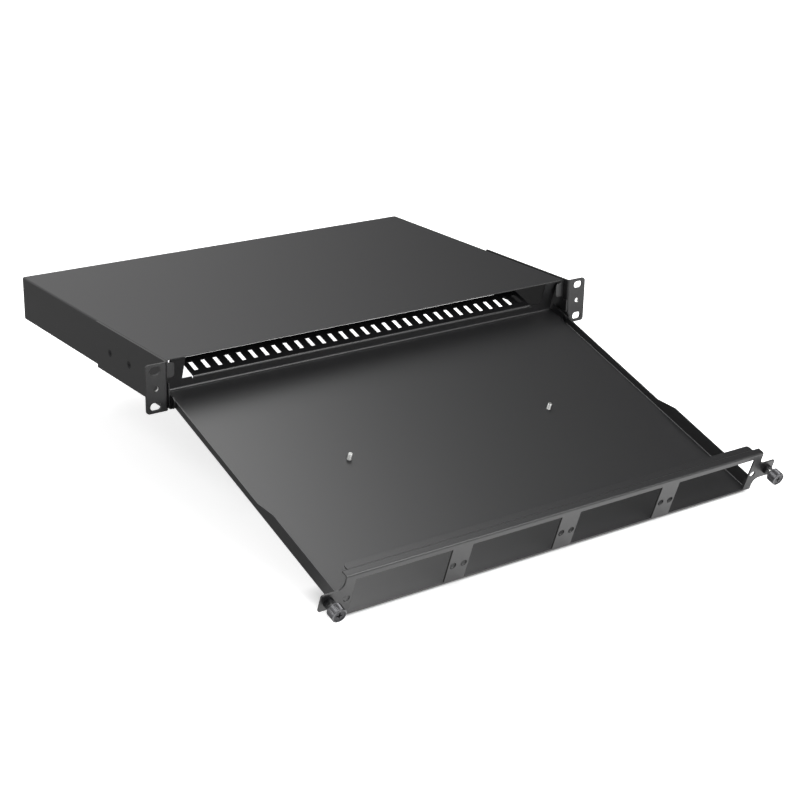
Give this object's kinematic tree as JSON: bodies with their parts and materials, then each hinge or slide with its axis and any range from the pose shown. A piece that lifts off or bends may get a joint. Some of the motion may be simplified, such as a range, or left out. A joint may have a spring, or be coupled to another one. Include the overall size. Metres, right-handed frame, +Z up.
{
  "type": "sliding fibre patch drawer",
  "caption": "Rack-mounted fibre patch drawer, pulled out and tilted down, with cassette windows, captive thumbscrews, rack ears and a slotted lacing shelf.",
  "frame": {"origin": "centre of the four rack slots, on the front face of the rack ears", "axes": "+Z up, +Y into the rack along the slide, front towards -Y, +X to the right seen from the front"},
  "size_m": [0.4826, 0.5692, 0.1268],
  "materials": {
    "black_powder_coat": "fine-textured black powder coat on steel sheet",
    "black_oxide_steel": "black zinc plating, semi-gloss",
    "black_nickel_knob": "black nickel plating on a knurled knob",
    "bright_steel": "bright zinc-plated steel",
    "black_acetal": "moulded acetal"
  },
  "bodies": {
    "chassis": {"chassis_shell": "black_powder_coat", "left_rack_ear": "black_powder_coat", "right_rack_ear": "black_powder_coat", "left_ear_screws": "black_oxide_steel", "right_ear_screws": "black_oxide_steel"},
    "carriage": {"left_slide_shoe": "black_acetal", "right_slide_shoe": "black_acetal", "left_pivot_rivet": "black_oxide_steel", "right_pivot_rivet": "black_oxide_steel"},
    "drawer": {"drawer_tray": "black_powder_coat", "front_bezel": "black_powder_coat", "rear_bulkhead": "black_powder_coat", "left_tray_stud": "bright_steel", "right_tray_stud": "bright_steel", "left_screw_ferrule": "black_oxide_steel", "right_screw_ferrule": "black_oxide_steel"},
    "left_screw_slide": {"left_screw_washer": "black_acetal"},
    "left_thumbscrew": {"left_thumbscrew_knob": "black_nickel_knob", "left_thumbscrew_shank": "bright_steel"},
    "right_screw_slide": {"right_screw_washer": "black_acetal"},
    "right_thumbscrew": {"right_thumbscrew_knob": "black_nickel_knob", "right_thumbscrew_shank": "bright_steel"}
  },
  "joints": [
    {"name": "drawer_slide", "type": "slide", "parent": "chassis", "child": "carriage", "axis": [0, 1, 0], "range_m": [0, 0.2692]},
    {"name": "drawer_tilt", "type": "hinge", "parent": "carriage", "child": "drawer", "pos_m": [0, -0.00319, -0.0153], "axis": [-1, 0, 0], "range_deg": [0, 18.6]},
    {"name": "left_screw_travel", "type": "slide", "parent": "drawer", "child": "left_screw_slide", "axis": [0, 0.9478, 0.319], "range_m": [0, 0.0065]},
    {"name": "left_screw_turn", "type": "hinge", "parent": "left_screw_slide", "child": "left_thumbscrew", "pos_m": [-0.232, -0.26198, -0.08625], "axis": [0, 0.9478, 0.319], "continuous": true},
    {"name": "right_screw_travel", "type": "slide", "parent": "drawer", "child": "right_screw_slide", "axis": [0, 0.9478, 0.319], "range_m": [0, 0.0065]},
    {"name": "right_screw_turn", "type": "hinge", "parent": "right_screw_slide", "child": "right_thumbscrew", "pos_m": [0.232, -0.26198, -0.08625], "axis": [0, 0.9478, 0.319], "continuous": true}
  ]
}
